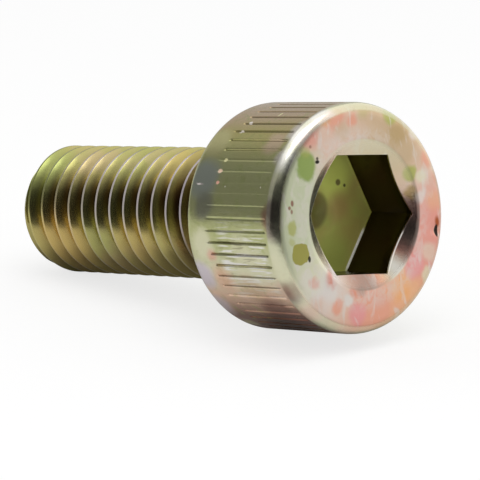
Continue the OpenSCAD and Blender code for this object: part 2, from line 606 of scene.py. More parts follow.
class Head:
    """The head: seat, rim, knurled side, rolled face edge, face, countersink and socket.

    The ROWS are heights in millimetres, and the STOPS are shares of what they divide. BEND rounds
    an edge, GROOVE_ROUND and GROOVE_LEVEL the bottom of a groove, as shares of its depth.
    """

    GROOVE_STOPS = (0.0, 0.17, 0.3, 0.345, 0.375, 0.44, 0.5, 0.56, 0.625, 0.655, 0.7, 0.83)
    BAND_ROWS = (0.8, 1.1, 1.4)
    LOW_END_ROWS = (-0.16, -0.1, -0.05, 0.0, 0.05, 0.1, 0.16)
    GROOVE_ROWS = (0.6, 1.2, 1.8, 2.4, 3.0)
    HIGH_END_ROWS = (-0.12, -0.06, 0.0)
    FACE_STOPS = (0.2, 0.4, 0.6, 0.8, 1.0)
    SINK_STOPS = (0.06, 0.14, 0.24, 0.36, 0.48, 0.6, 0.72, 0.84, 0.93)
    WALL_STOPS = (0.25, 0.5, 0.75)
    FLOOR_STOPS = (0.3, 0.6, 0.85)
    PUNCH_STOPS = (1.04, 0.96, 0.8, 0.55, 0.3, 0.12)
    PUNCH_EDGE = 1.02
    BEND = ((1.0, 0.0), (0.3, 0.3), (0.0, 1.0))
    SEAT_RADIUS = 3.7 * MM
    BEVEL = 0.035 * MM
    CORNER = 0.05 * MM
    RIM_STEPS = 8
    EDGE_STEPS = 10
    GROOVE_ROUND = 0.16
    GROOVE_LEVEL = 0.027
    SEED = 5

    def __init__(self, sizes: HeadSizes) -> None:
        """Keeps the sizes."""
        self.sizes = sizes

    @property
    def columns(self) -> int:
        """Points in a ring: so many to a groove, and a whole number to a side of the hexagon."""
        return self.sizes.grooves * self.stops_per_groove

    @property
    def stops_per_groove(self) -> int:
        """Points in a ring from one rib to the next."""
        return len(self.GROOVE_STOPS)

    def knurl_angle(self, column: int) -> float:
        """Returns the angle of a column that keeps to the grooves' edges."""
        groove, stop = divmod(column, self.stops_per_groove)
        share = groove + self.GROOVE_STOPS[stop] - 0.5
        return share * TURN / self.sizes.grooves + self.sizes.groove_turn

    def socket_angle(self, column: int) -> float:
        """Returns the angle of an evenly spaced column that keeps to the hexagon's corners."""
        step = TURN / self.columns
        corner = self.sizes.first_corner
        return column * step + corner - round(corner / step) * step

    def turned_rows(self) -> list[Pair]:
        """Lists radius and height of the turned rings, from the seat over the side to the face."""
        s = self.sizes
        rows = [(self.SEAT_RADIUS, 0.0)]
        rows += [
            (s.radius - s.rim + s.rim * math.cos(a), s.rim + s.rim * math.sin(a))
            for a in arc(-TURN / 4, 0, self.RIM_STEPS)
        ]
        rows += [(s.radius, z * MM) for z in self.BAND_ROWS]
        rows += [(s.radius, s.knurl_low + z * MM) for z in self.LOW_END_ROWS + self.GROOVE_ROWS]
        rows += [(s.radius, s.knurl_high + z * MM) for z in self.HIGH_END_ROWS]
        rows += [
            (s.radius - s.face_edge * (1 - math.cos(a)), s.height - s.face_edge * (1 - math.sin(a)))
            for a in arc(0, TURN / 4, self.EDGE_STEPS)
        ]
        return rows

    def build(self, mesh: BMesh, seat: Ring) -> None:
        """Adds the head, from a ring on its seat up and round to the middle of the socket's floor.

        Args:
            mesh: The mesh.
            seat: The ring on the seat that the neck ends in.
        """
        s = self.sizes
        knurl = [self.knurl_angle(i) for i in range(self.columns)]
        socket = [self.socket_angle(i) for i in range(self.columns)]
        last = stack(mesh, seat, ([(a, radius, height) for a in knurl] for radius, height in self.turned_rows()))
        edge = s.radius - s.face_edge
        for share in self.FACE_STOPS:
            radius = edge + (s.roll_radius - edge) * share
            angles = [k + (h - k) * share for k, h in zip(knurl, socket)]
            centre = (s.socket_centre[0] * share, s.socket_centre[1] * share)
            last = stack(mesh, last, [[(a, radius, s.height) for a in angles]], centre)
        last = stack(mesh, last, self.socket_rows(socket), s.socket_centre)
        cap(mesh, last, s.height - s.socket_depth - s.punch_depth, True, s.socket_centre)

    def socket_rows(self, angles: Sequence[float]) -> list[list[Triple]]:
        """Lists the rings from the face down the countersink and the hexagon to the punch mark.

        Args:
            angles: The columns' angles.

        Returns:
            Each ring's angles, radii and heights.
        """
        s = self.sizes
        floor = s.height - s.socket_depth
        hexagon = [s.hexagon(a) for a in angles]
        pairs = list(zip(angles, hexagon))
        rows = []
        for stop in self.SINK_STOPS:
            radii = [s.roll_radius + (h + self.BEVEL - s.roll_radius) * stop for h in hexagon]
            rows.append([(a, r, s.countersink(r)) for a, r in zip(angles, radii)])
        mouth = [s.countersink(h + self.BEVEL) for h in hexagon]
        for out, down in self.BEND:
            rows.append([(a, h + out * self.BEVEL, m - down * self.BEVEL) for (a, h), m in zip(pairs, mouth)])
        low = floor + self.CORNER
        for stop in self.WALL_STOPS:
            rows.append([(a, h, m + (low - m) * stop) for (a, h), m in zip(pairs, mouth)])
        for inward, up in reversed(self.BEND):
            rows.append([(a, h - inward * self.CORNER, floor + up * self.CORNER) for a, h in pairs])
        for stop in self.FLOOR_STOPS:
            rows.append([(a, h - self.CORNER + (s.punch_radius - h) * stop, floor) for a, h in pairs])
        for share in self.PUNCH_STOPS:
            drop = s.punch_depth * min(1.0, max(0.0, self.PUNCH_EDGE - share))
            rows.append([(a, s.punch_radius * share, floor - drop) for a in angles])
        return rows

    def knurl_tree(self) -> GeometryTree:
        """Builds the tree that presses the grooves into the turned head.

        Returns:
            The tree. Its grooves differ a little in depth and in where they start.
        """
        s = self.sizes
        tree = GeometryTree("knurl", {
            "Grooves": s.grooves,
            "Radius": s.radius,
            "Depth": s.groove_depth,
            "Width": s.groove_width,
            "Turn": s.groove_turn,
            "Low end": s.knurl_low,
            "High end": s.knurl_high,
            "Run-out": s.run_out,
            "Spread": s.spread,
            "Worn middle": s.worn_middle,
            "Worn reach": s.worn_reach,
        })
        graph = tree.graph
        x, y, z = graph.split(graph.wire("GeometryNodeInputPosition"))
        radius = graph.calc("SQRT", x * x + y * y)
        turn = (y.math("ARCTAN2", x) - tree["Turn"]) * tree["Grooves"] * (1 / TURN) + 0.5
        number = turn.math("FLOOR")
        across = abs(turn - number - 0.5) * TURN * tree["Radius"] / tree["Grooves"]
        half = tree["Width"] * 0.5
        depth = (1 - across / half).math("SMOOTH_MAX", 0.0, self.GROOVE_ROUND) - self.GROOVE_LEVEL
        random = {"Min": -1.0, "Max": 1.0, "ID": number, "Seed": self.SEED}
        own = graph.node("FunctionNodeRandomValue", {"data_type": "FLOAT"}, random)
        own = Wire(graph, next(socket for socket in own.outputs if socket.enabled))
        low = tree["Low end"] + own * tree["Spread"]
        inside = z.step(low - tree["Run-out"], low + tree["Run-out"] * 0.3)
        inside = inside * z.step(tree["High end"], tree["High end"] - tree["Run-out"])
        inside = inside * radius.step(tree["Radius"] * 0.9, tree["Radius"] * 0.98)
        off_worn = abs(y.math("ARCTAN2", x).math("FLOORED_MODULO", TURN) - tree["Worn middle"])
        worn = off_worn.step(tree["Worn reach"], tree["Worn reach"] * 0.5)
        cut = depth.most(0.0) * tree["Depth"] * (1 + own * 0.25) * (1 - worn * 0.75) * inside
        share = 1 - cut / radius.most(tree["Radius"] * 0.01)
        tree.close(tree.place(tree[GeometryTree.MESH], graph.join(x * share, y * share, z)))
        return tree


class Shank:
    """The shank: neck, thread and chamfered tip.

    DISH holds shares of the tip's radius with shares of its hollow's depth.
    """

    COLUMNS = 120
    NECK_STOPS = (1.0, 0.75, 0.5)
    FILLET_STEPS = 6
    WELD = 1e-4 * MM
    DISH = ((0.93, 1 / 6), (0.8, 7 / 12), (0.6, 5 / 6), (0.35, 1.0), (0.12, 1.0))

    def __init__(self, sizes: ShankSizes) -> None:
        """Keeps the sizes."""
        self.sizes = sizes

    @property
    def angles(self) -> list[float]:
        """Angles of the columns."""
        return [TURN * i / self.COLUMNS for i in range(self.COLUMNS)]

    def neck(self, mesh: BMesh) -> Ring:
        """Adds the neck and its fillet, from the end of the thread up.

        Args:
            mesh: The mesh.

        Returns:
            The ring on the seat that it ends in.
        """
        s = self.sizes
        rows = [(s.neck_radius, -s.neck_length * share) for share in self.NECK_STOPS]
        rows += [
            (s.neck_radius + s.fillet * (1 - math.cos(a)), -s.fillet + s.fillet * math.sin(a))
            for a in arc(0, TURN / 4, self.FILLET_STEPS)
        ]
        first, *others = ([(a, radius, height) for a in self.angles] for radius, height in rows)
        return stack(mesh, ring(mesh, first), others)

    def tip(self, mesh: BMesh) -> None:
        """Adds the flat end of the tip, dished a little as rolling leaves it."""
        s = self.sizes
        last = ring(mesh, [(a, s.tip_radius, -s.length) for a in self.angles])
        for share, dish in self.DISH:
            row = ring(mesh, [(a, s.tip_radius * share, -s.length + dish * s.dish) for a in self.angles])
            skin(mesh, row, last)
            last = row
        cap(mesh, last, -s.length + s.dish, False)

    def strip(self) -> bpy.types.Mesh:
        """Makes one turn of the thread laid out flat.

        Returns:
            A mesh whose X is the share of a turn, Y the place along the axis and Z the depth
            below the crest.
        """
        mesh = bmesh.new()
        rows = [
            [mesh.verts.new((i / self.COLUMNS, along, deep)) for i in range(self.COLUMNS + 1)]
            for along, deep in self.sizes.section()
        ]
        for low, high in zip(rows, rows[1:]):
            for i in range(self.COLUMNS):
                mesh.faces.new((low[i], low[i + 1], high[i + 1], high[i]))
        flat = bpy.data.meshes.new("thread_strip")
        mesh.to_mesh(flat)
        mesh.free()
        return flat

    def thread_tree(self) -> GeometryTree:
        """Builds the tree that winds the strip round the screw and repeats it up the axis.

        Returns:
            The tree. It cuts the wound thread to the tip's chamfer and fades it into the neck.
        """
        s = self.sizes
        below = math.ceil((s.crest_low + s.length) / s.pitch) + 1
        start = s.crest_low - s.crest_start - below * s.pitch
        turns = math.ceil((-s.neck_length - start) / s.pitch) + 1
        tree = GeometryTree("thread", {
            "Turns": turns,
            "Pitch": s.pitch,
            "Start": start,
            "Thread radius": s.thread_radius,
            "Neck radius": s.neck_radius,
            "Neck height": -s.neck_length,
            "Fade": s.fade,
            "Tip radius": s.tip_radius,
            "Tip height": -s.length,
            "Chamfer rise": math.tan(s.tip_slope),
        })
        graph = tree.graph
        turn, along, deep = graph.split(graph.wire("GeometryNodeInputPosition"))
        angle = turn * TURN
        radius = tree["Thread radius"] - deep
        height = tree["Start"] + tree["Pitch"] * turn + along
        wound = graph.join(radius * angle.math("COSINE"), radius * angle.math("SINE"), height)
        coil = tree.place(tree[GeometryTree.MESH], wound)
        spaced = {"Count": tree["Turns"], "Offset": graph.join(0.0, 0.0, tree["Pitch"])}
        line = graph.wire("GeometryNodeMeshLine", {"mode": "OFFSET"}, spaced)
        turns_up = graph.wire("GeometryNodeInstanceOnPoints", values={"Points": line, "Instance": coil})
        whole = graph.wire("GeometryNodeRealizeInstances", values={"Geometry": turns_up})
        whole = self.weld(graph, whole)
        x, y, z = graph.split(graph.wire("GeometryNodeInputPosition"))
        full = graph.calc("SQRT", x * x + y * y)
        level = z.most(tree["Tip height"]).least(tree["Neck height"])
        kept = ((tree["Neck height"] - level) / tree["Fade"]).least(1.0)
        faded = tree["Neck radius"] + (full - tree["Neck radius"]) * kept
        chamfer = tree["Tip radius"] + (level - tree["Tip height"]) * tree["Chamfer rise"]
        share = faded.least(chamfer) / full
        cut = tree.place(whole, graph.join(x * share, y * share, level))
        tree.close(self.weld(graph, cut))
        return tree

    @staticmethod
    def weld(graph: Graph, mesh: Wire) -> Wire:
        """Joins points that lie on each other."""
        return graph.wire("GeometryNodeMergeByDistance", values={"Geometry": mesh, "Distance": Shank.WELD})


class Hue(Enum):
    """Colours of the chromate, of what has worn or settled on it, and of painted highlights and painted shade, as a
    screen shows them.
    """

    OLIVE = (0.76, 0.72, 0.46)
    GREEN = (0.66, 0.70, 0.42)
    GOLD = (0.86, 0.74, 0.46)
    MOSS = (0.76, 0.77, 0.56)
    STRAW = (0.86, 0.84, 0.62)
    TAN = (0.82, 0.72, 0.58)
    MAUVE = (0.60, 0.43, 0.37)
    CREAM = (0.91, 0.90, 0.77)
    CHALK = (0.92, 0.89, 0.86)
    SALMON = (0.94, 0.68, 0.58)
    ROSE = (0.93, 0.65, 0.59)
    PEACH = (0.96, 0.75, 0.58)
    SAND = (0.86, 0.75, 0.62)
    LIME = (0.72, 0.73, 0.42)
    LEAF = (0.60, 0.68, 0.38)
    OLIVE_SPOT = (0.66, 0.64, 0.32)
    SLATE = (0.70, 0.73, 0.69)
    SOOT = (0.56, 0.56, 0.52)
    LILAC = (0.86, 0.82, 0.86)
    RUST = (0.66, 0.32, 0.12)
    UMBER = (0.34, 0.24, 0.16)
    PITCH = (0.07, 0.06, 0.05)
    CITRINE = (0.90, 0.94, 0.46)
    FERN = (0.72, 0.75, 0.36)
    BRONZE = (0.72, 0.60, 0.34)
    # Dark brown for the socket's walls: painted shade inside the socket.
    SOCKET_WALL_SHADE = (0.26, 0.22, 0.13)
    PALE_ROSE = (0.92, 0.80, 0.72)
    MIST = (0.82, 0.84, 0.71)
    ASH = (0.60, 0.55, 0.51)
    BLUSH = (0.95, 0.81, 0.70)
    EMBER = (0.86, 0.44, 0.32)
    ORANGE = (0.97, 0.72, 0.50)
    MAGENTA = (0.94, 0.65, 0.64)
    WHITE = (0.97, 0.96, 0.93)

    @property
    def colour(self) -> Colour:
        """The hue as a shader takes it."""
        return linear(*self.value)


@dataclass(frozen=True)
class Stain:
    """A patch where the chromate has turned another colour.

    Attributes:
        angle: Angle round the screw, in degrees.
        radius: Distance from the axis, in millimetres.
        rise: Height above the seat, in millimetres.
        reach: Size of the patch, in millimetres.
        hue: Its colour.
        cover: How much of the colour beneath it hides.
        blur: Share of its size over which it fades.
        stretch: How many times longer it is towards angle 0, towards angle 90 and along the screw.
    """

    angle: float
    radius: float
    rise: float
    reach: float
    hue: Hue
    cover: float = 0.8
    blur: float = 0.6
    stretch: Triple = (1.0, 1.0, 1.0)

    def mask(self, graph: Graph, point: Wire) -> Wire:
        """Marks how much the patch hides of what is beneath it, from a place in millimetres."""
        off = graph.vector("SUBTRACT", point, around(self.angle, self.radius, self.rise))
        if self.stretch != (1.0, 1.0, 1.0):
            off = graph.vector("DIVIDE", off, self.stretch)
        far = graph.vector("LENGTH", off, output=1)
        return far.step(self.reach, self.reach * (1 - self.blur)) * self.cover


def stains(*rows: tuple) -> tuple[Stain, ...]:
    """Makes patches from rows that hold their attributes in order."""
    return tuple(Stain(*row) for row in rows)


@dataclass(frozen=True)
class Spot:
    """A place on the upright screw, in millimetres and degrees, as a material sees it.

    Attributes:
        point: The place, X down, Y away from the camera and Z up the screw.
        radius: Distance from the screw's axis.
        angle: Angle round it.
        rise: Height above the seat.
        bore: Distance from the socket's own axis.
    """

    point: Wire
    radius: Wire
    angle: Wire
    rise: Wire
    bore: Wire

    @classmethod
    def read(cls, graph: Graph, lie: Lie) -> "Spot":
        """Works the place out from the laid screw's own coordinates."""
        x0, y0 = lie.socket_centre
        place = graph.wire("ShaderNodeTexCoord", output="Object")
        point = graph.wire(
            "ShaderNodeMapping",
            {"vector_type": "TEXTURE"},
            {"Vector": place, "Location": lie.seat, "Rotation": lie.matrix.to_euler(), "Scale": (MM,) * 3},
        )
        x, y, z = graph.split(point)
        angle = y.math("ARCTAN2", x).math("DEGREES").math("FLOORED_MODULO", 360.0)
        bore = graph.join(x - x0 / MM, y - y0 / MM, 0.0)
        return cls(point, graph.calc("SQRT", x * x + y * y), angle, z, graph.vector("LENGTH", bore, output=1))


@dataclass(frozen=True)
class Chromate:
    """The yellow chromate over zinc: an olive metal with pearl, rose, straw and green patches, and, in some tables and
    in the side's colours round the screw, painted highlights, painted glints and painted shade.

    Its patches overlap, and in each table the last lies on top. SIDE_ROUND_AND_PAINTED_LIGHT and FACE_ROUND give
    the colours of the head's side and face round the screw, at shares of a turn.

    Attributes:
        polish: Roughness of the smooth places.
        matt: Roughness of the socket's floor and of worn crests.
        grain: Height of the fine unevenness in the metal.
        swell: Height of the broad unevenness.
    """

    polish: float = 0.22
    matt: float = 0.5
    grain: float = 0.003 * MM
    swell: float = 0.012 * MM

    FACE_STAINS = stains(
        (193, 4.60, 6, 0.85, Hue.SALMON, 0.9, 0.7), (200, 4.75, 6, 0.50, Hue.PEACH, 0.9, 0.7),
        (214, 4.60, 6, 0.75, Hue.ROSE, 0.8, 0.7), (181, 4.20, 6, 0.40, Hue.SALMON, 0.9, 0.7),
        (190, 3.80, 6, 0.60, Hue.SAND, 0.7, 0.7), (172, 4.60, 6, 0.60, Hue.LIME, 0.35, 0.8),
        (152, 4.70, 6, 0.55, Hue.LIME, 0.9, 0.6), (143, 4.10, 6, 0.75, Hue.BRONZE, 0.4, 0.7),
        (130, 3.75, 6, 0.60, Hue.TAN, 0.8, 0.7), (134, 4.65, 6, 0.40, Hue.CHALK, 0.6, 0.7),
        (116, 4.60, 6, 0.60, Hue.SALMON, 0.8, 0.7), (104, 4.72, 6, 0.40, Hue.EMBER, 0.35, 0.8),
        (117, 3.40, 6, 0.50, Hue.LIME, 0.95, 0.5), (103, 3.15, 6, 0.40, Hue.BRONZE, 0.8, 0.6),
        (110, 3.90, 6, 0.40, Hue.CREAM, 0.7, 0.6), (98, 3.55, 6, 0.45, Hue.CHALK, 0.7, 0.7),
        (92, 4.30, 6, 0.70, Hue.PEACH, 0.5, 0.8), (76, 3.90, 6, 0.80, Hue.ROSE, 0.9, 0.6),
        (62, 4.20, 6, 0.60, Hue.PALE_ROSE, 0.9, 0.6), (48, 3.70, 6, 0.75, Hue.MAGENTA, 0.9, 0.6),
        (50, 4.55, 6, 0.45, Hue.CREAM, 0.7, 0.6), (29, 3.85, 6, 0.70, Hue.ORANGE, 0.95, 0.5),
        (8, 4.05, 6, 0.80, Hue.SALMON, 0.9, 0.6), (349, 4.10, 6, 0.70, Hue.MAGENTA, 0.9, 0.6),
        (332, 3.95, 6, 0.45, Hue.SALMON, 0.9, 0.5), (340, 3.55, 6, 0.35, Hue.CHALK, 0.9, 0.6),
        (318, 4.45, 6, 0.60, Hue.PALE_ROSE, 0.8, 0.8), (303, 4.10, 6, 0.75, Hue.CHALK, 0.6, 0.8),
        (322, 3.55, 6, 0.60, Hue.CHALK, 0.8, 0.7), (307, 3.80, 6, 0.35, Hue.ROSE, 0.6, 0.7),
        (250, 4.20, 6, 0.70, Hue.MIST, 0.9, 0.8), (318, 3.16, 6, 0.45, Hue.EMBER, 0.7, 0.8),
        (345, 3.20, 6, 0.30, Hue.EMBER, 0.5, 0.8), (352, 3.05, 5.9, 0.35, Hue.ASH, 0.6, 0.8),
    )
    FACE_SPOTS = stains(
        (228, 3.90, 6, 0.62, Hue.LEAF, 0.95, 0.35, (1.2, 1, 1)), (222, 4.30, 6, 0.35, Hue.LIME, 0.5, 0.6),
        (268, 3.96, 6, 0.34, Hue.LIME, 0.8, 0.5), (276, 4.05, 6, 0.30, Hue.LIME, 0.5, 0.6),
        (285, 3.80, 6, 0.46, Hue.OLIVE_SPOT, 0.95, 0.12, (1.15, 1, 1)),
    )
    # Patches of the rolled edge. The WHITE rows at 200 to 232 degrees are a painted highlight, the ASH rows at 258 and
    # 268 degrees paint the dark reflection band, and the ASH row at 303 degrees darkens the edge lower down. The rest
    # are tints.
    ROLL_STAINS_AND_PAINTED_LIGHT = stains(
        (200, 4.80, 5.8, 0.90, Hue.WHITE, 0.9, 0.7), (216, 4.80, 5.8, 0.90, Hue.WHITE, 0.95, 0.7),
        (232, 4.80, 5.8, 0.80, Hue.WHITE, 0.9, 0.7), (258, 4.85, 5.7, 0.75, Hue.ASH, 0.9, 0.7),
        (268, 4.85, 5.7, 0.60, Hue.ASH, 0.8, 0.7), (284, 4.80, 5.8, 0.60, Hue.CREAM, 0.8, 0.8),
        (303, 4.80, 5.7, 0.90, Hue.ASH, 0.85, 0.8), (300, 4.85, 5.6, 0.70, Hue.MAUVE, 0.6, 0.8),
        (318, 4.80, 5.7, 0.90, Hue.PALE_ROSE, 0.8, 0.8), (345, 4.80, 5.7, 0.90, Hue.PALE_ROSE, 0.6, 0.8),
        (10, 4.80, 5.7, 0.90, Hue.MOSS, 0.6, 0.8),
    )
    MARKS = stains(
        (253, 4.02, 6, 0.13, Hue.MAUVE, 0.9, 0.5, (1.3, 0.8, 1)), (256, 4.14, 6, 0.11, Hue.MAUVE, 0.85, 0.6),
        (258, 4.00, 6, 0.09, Hue.MAUVE, 0.8, 0.6, (1.5, 1, 1)),
        (292, 3.42, 6, 0.12, Hue.PITCH, 0.9, 0.4, (1.4, 0.8, 1)),
        (219.6, 3.52, 6, 0.12, Hue.PITCH, 0.95, 0.4, (0.8, 1.2, 1)), (218, 3.62, 6, 0.09, Hue.PITCH, 0.8, 0.5),
        (217, 4.25, 6, 0.10, Hue.MAUVE, 0.7, 0.6), (80, 4.40, 5.97, 0.20, Hue.RUST, 0.9, 0.7, (1.8, 1, 1)),
        (75, 4.42, 5.93, 0.13, Hue.PITCH, 0.97, 0.35, (2.6, 1.1, 2.5)), (96, 3.05, 5.9, 0.06, Hue.PITCH, 0.6, 0.5),
    )
    GLINTS = stains(
        (208, 4.93, 2.05, 0.11, Hue.CHALK, 0.9, 0.5, (1, 1, 1.4)),
        (215, 4.93, 2.0, 0.12, Hue.CHALK, 0.9, 0.5, (1, 1, 1.4)),
        (233, 4.93, 2.1, 0.12, Hue.STRAW, 0.9, 0.5, (1, 1, 1.3)),
        (239, 4.93, 2.0, 0.13, Hue.BLUSH, 0.9, 0.5, (1, 1, 1.5)),
        (245, 4.93, 2.05, 0.11, Hue.ROSE, 0.8, 0.5, (1, 1, 1.3)),
        (200, 4.93, 3.3, 0.07, Hue.STRAW, 0.9, 0.5, (3, 3, 1)),
        (246, 4.93, 0.85, 0.05, Hue.CHALK, 0.7, 0.5, (1, 1, 4)),
        (247, 4.93, 2.6, 0.05, Hue.CHALK, 0.6, 0.5), (247, 4.93, 4.9, 0.05, Hue.CHALK, 0.6, 0.5),
    )
    FACE_ROUND = (
        (0.0, Hue.SALMON), (0.1, Hue.PEACH), (0.15, Hue.ROSE), (0.24, Hue.ROSE), (0.3, Hue.PALE_ROSE),
        (0.35, Hue.SAND), (0.4, Hue.TAN), (0.45, Hue.SAND), (0.52, Hue.PALE_ROSE), (0.58, Hue.PALE_ROSE),
        (0.64, Hue.MIST), (0.78, Hue.MIST), (0.84, Hue.CREAM), (0.88, Hue.CHALK), (0.93, Hue.PALE_ROSE),
        (0.97, Hue.SALMON),
    )
    # Patches of the head's side. The CHALK rows at 214 and 230 degrees on the rolled edge are a painted highlight, the
    # MAUVE row at 262 degrees paints the dark reflection band brown, and the UMBER row at 336 degrees is painted shade
    # towards the floor. The rest are tints.
    SIDE_STAINS_AND_PAINTED_LIGHT = stains(
        (222, 4.95, 1.0, 1.00, Hue.STRAW, 0.7), (243, 4.95, 1.1, 1.20, Hue.SLATE, 0.9),
        (257, 4.95, 1.4, 0.80, Hue.SOOT, 0.7), (276, 4.95, 1.2, 0.90, Hue.CREAM, 0.8),
        (294, 4.95, 1.9, 0.95, Hue.SALMON, 0.55, 0.8), (281, 4.95, 1.6, 0.45, Hue.ROSE, 0.6, 0.8),
        (293, 4.90, 0.6, 0.90, Hue.LILAC, 0.9), (313, 4.85, 0.5, 0.90, Hue.LILAC, 0.7),
        (331, 4.95, 0.9, 0.60, Hue.STRAW, 0.7), (210, 4.90, 0.4, 0.60, Hue.TAN, 0.6),
        (246, 4.95, 0.9, 0.10, Hue.CHALK, 0.9, 0.5, (1, 1, 3)), (277, 4.95, 3.6, 0.80, Hue.CREAM, 0.5),
        (286, 4.95, 4.2, 1.10, Hue.CREAM, 0.8), (300, 4.95, 3.4, 1.00, Hue.TAN, 0.5),
        (222, 4.95, 4.6, 0.80, Hue.PALE_ROSE, 0.6), (318, 4.95, 4.2, 1.40, Hue.MAUVE, 0.8),
        (336, 4.95, 3.4, 2.10, Hue.UMBER, 0.85, 0.7), (214, 4.85, 5.7, 0.90, Hue.CHALK, 0.9),
        (230, 4.85, 5.7, 0.70, Hue.CHALK, 0.8), (262, 4.80, 5.7, 0.80, Hue.MAUVE, 0.8),
        (300, 4.80, 5.7, 0.90, Hue.PALE_ROSE, 0.6),
    )
    THREAD_STAINS = stains(
        (206, 2.9, -10.3, 1.30, Hue.TAN, 0.5), (290, 2.9, -11.6, 2.40, Hue.GOLD, 0.8),
        (226, 2.9, -13.6, 2.40, Hue.GREEN, 0.7), (204, 2.9, -4.3, 1.80, Hue.GOLD, 0.4),
        (290, 2.9, -6.5, 1.80, Hue.GOLD, 0.5),
    )
    PITS = stains(
        (150, 2.00, 3.2, 1.50, Hue.CITRINE, 0.95, 0.7), (20, 1.90, 3.2, 1.30, Hue.FERN, 0.95, 0.7),
        (100, 1.30, 3.2, 1.00, Hue.BRONZE, 0.8, 0.8), (205, 0.35, 3.0, 0.95, Hue.UMBER, 0.6, 0.25),
        (135.4, 1.86, 3.2, 0.18, Hue.UMBER, 0.8, 0.5), (124.5, 2.02, 3.2, 0.09, Hue.PITCH, 0.8, 0.4),
    )
    # Colours round the head's side: partly the chromate's tint, partly painted light and shade. Cream and blush paint
    # the highlight low on the near side, and mauve paints the shade towards the floor.
    SIDE_ROUND_AND_PAINTED_LIGHT = (
        (0.0, Hue.MAUVE), (0.08, Hue.OLIVE), (0.3, Hue.MOSS), (0.5, Hue.TAN), (0.56, Hue.TAN), (0.6, Hue.OLIVE),
        (0.66, Hue.MOSS), (0.73, Hue.MOSS), (0.765, Hue.MOSS), (0.81, Hue.CREAM), (0.85, Hue.BLUSH),
        (0.895, Hue.MAUVE),
    )


